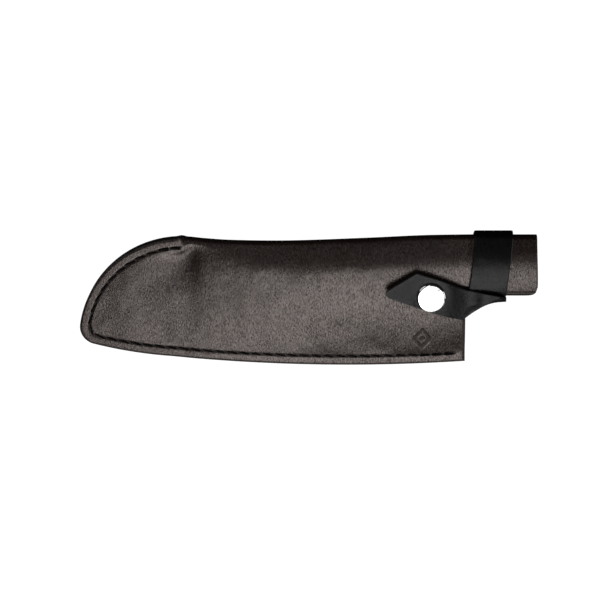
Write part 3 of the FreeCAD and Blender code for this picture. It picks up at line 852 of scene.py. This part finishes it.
def band_route():
    """The band's outer face in the (y, z) plane: a turn and a quarter round the collar."""
    x = BAND_X
    off = STRAP + STRAP_GAP
    top_y, crown, lift, fold = spine(x) - CROWN_INSET, along(CROWN, x), along(LIFT, x), along(FOLD, x)
    low_big, low_lean = shoulder(LOW_BEND, crown - COLLAR_MID_Z, top_y - COLLAR_LOW - LOW_BEND)
    big, lean = shoulder(fold, crown - lift - fold, CROWN_INSET - fold)
    low_lean, lean = math.degrees(low_lean), math.degrees(lean)
    bend = COLLAR_MID_Z - lift
    inner_z = lift - off
    route = [(y, inner_z) for y in np.linspace(19.5, 8.0, 9)]
    route += turn((COLLAR_LOW + bend, COLLAR_MID_Z), bend + off, 270, 185, 12)
    route += turn((COLLAR_LOW + LOW_BEND, COLLAR_MID_Z), LOW_BEND + off, 180, 90 + low_lean, 12)
    route += turn((top_y, crown - low_big), low_big + off, 90 + low_lean, 90, 12)[1:]
    route += turn((top_y, crown - big), big + off, 90, 90 - lean, 14)[1:]
    route += turn((spine(x) - fold, lift + fold), fold + off, 90 - lean, -90, 20)[1:]
    route += [(y, mix(0.0, inner_z, smooth(21.0, 29.5, y))) for y in np.linspace(29.4, 20.6, 9)]
    route += [(y, 0.04) for y in np.linspace(19.6, -1.2, 18)]
    return route


def sheet_faces(rows, columns):
    starts = [i * columns + j for i in range(rows - 1) for j in range(columns - 1)]
    return [[k, k + 1, k + columns + 1, k + columns] for k in starts]


def make_band():
    route = band_route()
    columns = 25
    points = []
    for i, (y, z) in enumerate(route):
        wobble = 0.22 * noise.noise(Vector((i * 0.16, 2.0, 0.0)))
        for j in range(columns):
            share = j / (columns - 1)
            x = STRAP_X + STRAP_LEAN * y + STRAP_WIDE * share + wobble
            relief = 0.10 * noise.noise(Vector((x / 7.0, i * 0.22, 5.0))) if z > COLLAR_FRONT_Z else 0.0
            points.append((x, y, z + relief))
    piece = make_mesh("Strap_Band", points, sheet_faces(len(route), columns))
    thicken(piece, BLACK, BLACK_RAW, BLACK_EDGE, STRAP, 0.42)
    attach(piece, "sheath")
    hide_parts("strap_wrap")
    return piece


def bezier(points, t):
    while len(points) > 1:
        points = [tuple(mix(a, b, t) for a, b in zip(p, q)) for p, q in zip(points, points[1:])]
    return points[0]


def spline(points, t):
    """A smooth curve through plan points, by their order."""
    t = min(max(t, 0.0), 1.0) * (len(points) - 1)
    i = min(int(t), len(points) - 2)
    t -= i
    p = [points[max(i - 1, 0)], points[i], points[i + 1], points[min(i + 2, len(points) - 1)]]
    return tuple(0.5 * (2 * b + (c - a) * t + (2 * a - 5 * b + 4 * c - d) * t ** 2
                        + (3 * b - a - 3 * c + d) * t ** 3) for a, b, c, d in zip(*p))


# the strap's crease lines in plan, from its fixed end to the tab; each is a curve's control points
BACK_LINE = [(82.4, -0.5), (102.9, 0.9)]
LOW_LINE = [(80.6, -9.2), (85.2, -0.5), (94.0, -0.8), (102.6, -1.0)]
FRONT_LINE = [(79.8, -9.2), (88.6, -1.9), (98.3, 3.4)]
HINGE_LINE = [(76.5, -8.6), (81.5, 6.5)]
NOSE = (41.2, 3.0)
TAB_LOWER = [HINGE_LINE[0], (67.1, -6.3), (58.2, -3.3), (49.4, -0.2), NOSE]
TAB_UPPER = [HINGE_LINE[1], (75.0, 9.1), (68.5, 11.5), (62.0, 13.7), (55.6, 15.7)]
END_CUT = arc((40.4, 6.3), NOSE, 2.0, 0.3)[::-1] + [(mix(40.4, 55.6, k / 16), mix(6.3, 15.7, k / 16))
                                                     for k in range(1, 17)]


def tab_sections():
    """Cross-sections of the strap's front face, from under the collar to the tab's pointed end."""
    shares = np.linspace(0.0, 1.0, 27)
    sections = []
    for degrees in np.linspace(0.0, 180.0, 31):
        line = BACK_LINE if degrees < 90 else FRONT_LINE
        out, up = math.sin(math.radians(degrees)), math.cos(math.radians(degrees))
        section = []
        for u in shares:
            near, low = bezier(line, u), bezier(LOW_LINE, u)
            section.append((mix(near[0], low[0], out), mix(near[1], low[1], out), TOP_Z / 2 * (1 - up)))
        sections.append(section)
    for t in np.linspace(0.0, 1.0, 12)[1:]:
        section = []
        for u in shares:
            a, b = bezier(FRONT_LINE, u), bezier(HINGE_LINE, u)
            section.append((mix(a[0], b[0], t), mix(a[1], b[1], t), TOP_Z))
        sections.append(section)
    end_sums = path_length(END_CUT)
    for t in np.linspace(0.0, 1.0, 46)[1:]:
        low, high = spline(TAB_LOWER, t), spline(TAB_UPPER, t)
        section = []
        for u in shares:
            cut = at_length(END_CUT, end_sums, u * end_sums[-1])
            pull = smooth(0.55, 1.0, t)
            x = mix(low[0], high[0], u) + (cut[0] - mix(NOSE[0], END_CUT[-1][0], u)) * pull
            y = mix(low[1], high[1], u) + (cut[1] - mix(NOSE[1], END_CUT[-1][1], u)) * pull
            section.append((x, y, TOP_Z))
        sections.append(section)
    return sections


def make_tab():
    sections = tab_sections()
    points = []
    for section in sections:
        for x, y, z in section:
            if z > TOP_Z - TAB_SIDE:
                # pressed in round the snap, and sagging between the snap and the fold
                press = math.hypot(x - SNAP[0], y - SNAP[1])
                z -= 0.16 * (1 - smooth(7.0, 11.0, press))
                sag = 1.5 * smooth(68.5, 83.0, x) * (1 - smooth(83.0, 92.0, x))
                z -= sag * smooth(TOP_Z - TAB_SIDE, TOP_Z, z)
                z += ripple(x, y, 9.0, 0.10, 1.0)
            points.append((x, y, z))
    piece = make_mesh("Strap_Tab", points, sheet_faces(len(sections), len(sections[0])))
    thicken(piece, BLACK, BLACK_RAW, BLACK_EDGE, STRAP, 0.42)
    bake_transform(piece)
    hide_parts("strap_fold", "strap_tab")
    return piece


make_hide()
make_seam_thread("Seam_Thread_Front", "needle_thread", 1, MARGIN_Z - 0.38)
make_seam_thread("Seam_Thread_Back", "bobbin_thread", -1, 0.62)
make_band()
make_tab()

CAD_LOOKS = {"welt": WELT, "anchor_thread": THREAD, "snap_cap": CHROME, "snap_socket": STEEL,
             "snap_spring": STEEL, "snap_stud": STEEL, "snap_post": STEEL}
for node, material in CAD_LOOKS.items():
    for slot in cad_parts[node].material_slots:
        slot.material = material

# ---------------------------------------------------------------- camera, light and backdrop

scene = bpy.context.scene
scene.view_settings.view_transform = "Standard"

TILT = math.radians(15)     # the photograph looks straight down, but from a little to the spine's side
TARGET = Vector((-0.00403, -0.00315, 0.0))
DISTANCE = 0.8724
lens = bpy.data.cameras.new("Camera")
lens.lens = 100
lens.sensor_width = 36
lens.clip_start = 0.01
camera = bpy.data.objects.new("Camera", lens)
scene.collection.objects.link(camera)
camera.location = TARGET + Vector((0, math.sin(TILT), math.cos(TILT))) * DISTANCE
camera.rotation_euler = Euler((-TILT, 0, 0))
scene.camera = camera


def softbox(name, angle, distance, across, along_x, power, aside=0.0):
    """A soft panel light; angle is from straight above towards the spine, aside is towards the collar.

    across is the panel's size from spine to belly and along_x its size along the sheath.
    """
    light = bpy.data.lights.new(name, "AREA")
    light.shape = "RECTANGLE"
    light.size, light.size_y = across, along_x
    light.energy = power
    box = bpy.data.objects.new(name, light)
    scene.collection.objects.link(box)
    a, b = math.radians(angle), math.radians(aside)
    way = Vector((math.sin(b), math.sin(a) * math.cos(b), math.cos(a) * math.cos(b)))
    box.location = way * distance
    box.rotation_euler = (-way).to_track_quat("-Z", "X").to_euler()
    box.visible_camera = False


softbox("Key", -23.5, 1.1, 0.50, 0.58, 4.9, 3)      # the broad gloss on the panel
softbox("Edge", -7.8, 1.1, 0.11, 0.5, 0.28, 2)      # fills the dark half of the snap's cap
softbox("Strip", 24, 1.2, 1.2, 0.08, 0.7)           # lighter along the spine; its long side lies across
softbox("Left", 61, 1.3, 0.7, 0.9, 2.4, -41)        # the four below light the other views
softbox("Right", -65, 1.3, 0.7, 0.9, 2.0, 42)
softbox("Front", -77, 1.3, 0.5, 1.0, 2.4)
softbox("End", 0, 1.3, 0.8, 0.6, 2.4, 76)

world = bpy.data.worlds.new("World")
world.use_nodes = True
world.node_tree.nodes["Background"].inputs["Color"].default_value = (0.9, 0.95, 1.0, 1.0)
world.node_tree.nodes["Background"].inputs["Strength"].default_value = 0.015
scene.world = world


ROOM = 4.0                  # half the floor's side, and the wall's radius
FLOOR_Z = -0.0004           # just below the sheath
WALL_SIDES = 32


def backdrop(name, points, faces):
    """A white surface that the camera sees and the object is not lit by."""
    mesh = bpy.data.meshes.new(name)
    mesh.from_pydata(points, [], faces)
    white = bpy.data.materials.new(f"{name}_white")
    white.use_nodes = True
    nodes = white.node_tree.nodes
    glow = nodes.new("ShaderNodeEmission")
    glow.inputs["Color"].default_value = (1, 1, 1, 1)
    glow.inputs["Strength"].default_value = 1.05
    white.node_tree.links.new(glow.outputs[0], nodes["Material Output"].inputs["Surface"])
    mesh.materials.append(white)
    piece = bpy.data.objects.new(name, mesh)
    scene.collection.objects.link(piece)
    piece.visible_diffuse = piece.visible_glossy = piece.visible_transmission = piece.visible_shadow = False


backdrop("Floor", [(x * ROOM, y * ROOM, FLOOR_Z) for x, y in ((-1, -1), (1, -1), (1, 1), (-1, 1))],
         [(0, 1, 2, 3)])
turns = [2 * math.pi * k / WALL_SIDES for k in range(WALL_SIDES)]
backdrop("Backdrop", [(ROOM * math.cos(a), ROOM * math.sin(a), z) for z in (-0.5, 6) for a in turns],
         [(k, (k + 1) % WALL_SIDES, WALL_SIDES + (k + 1) % WALL_SIDES, WALL_SIDES + k)
          for k in range(WALL_SIDES)])
